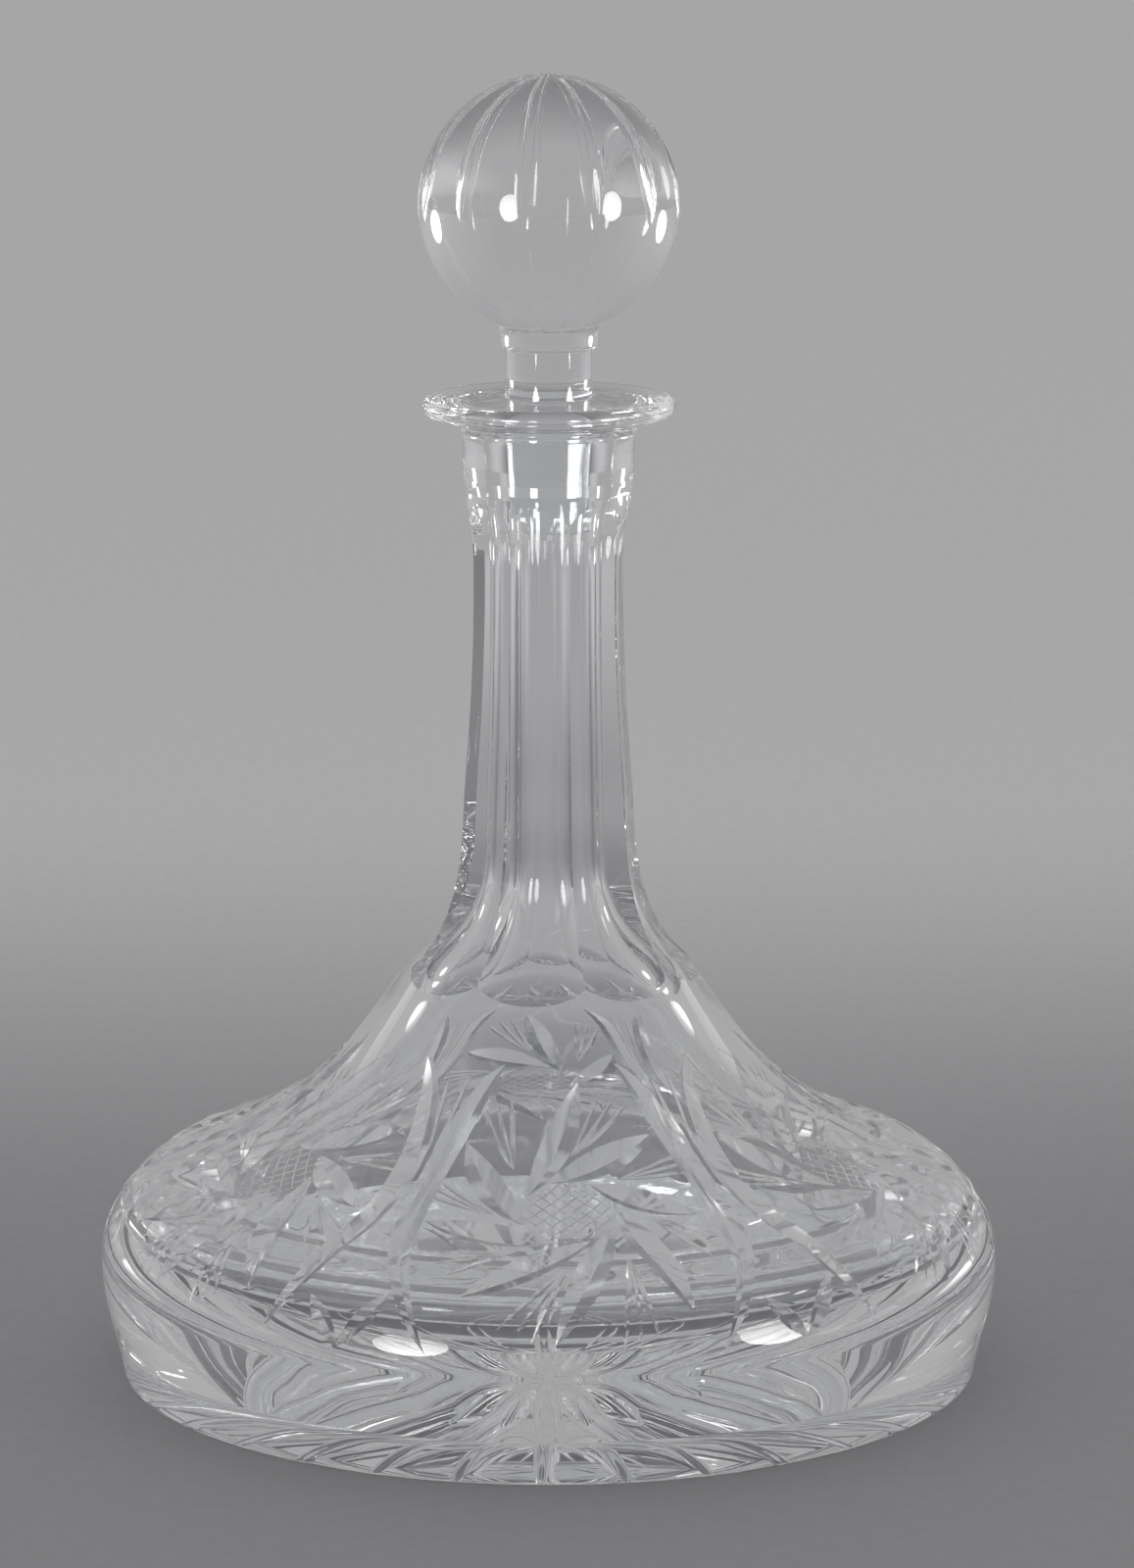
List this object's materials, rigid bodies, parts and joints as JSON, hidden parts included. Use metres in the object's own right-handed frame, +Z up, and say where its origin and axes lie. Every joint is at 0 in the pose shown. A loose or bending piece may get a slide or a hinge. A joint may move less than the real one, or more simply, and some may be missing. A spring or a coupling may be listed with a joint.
{
  "type": "ships decanter",
  "caption": "Cut-crystal ships decanter: broad low body, fluted neck with flat lip, star-cut base and a lift-out ball stopper on a ground plug.",
  "frame": {"origin": "centre of the underside of the base, on the table", "axes": "+Z up the axis of the neck, -Y towards the viewer of the picture"},
  "size_m": [0.19, 0.19, 0.273],
  "materials": {
    "body_crystal": "polished cut crystal",
    "stopper_crystal": "polished cut crystal, plug ground"
  },
  "bodies": {
    "decanter": {"decanter_body": "body_crystal"},
    "stopper": {"stopper": "stopper_crystal"}
  },
  "joints": [
    {"name": "stopper_lift", "type": "slide", "parent": "decanter", "child": "stopper", "axis": [0, 0, 1], "range_m": [0, 0.06]}
  ]
}
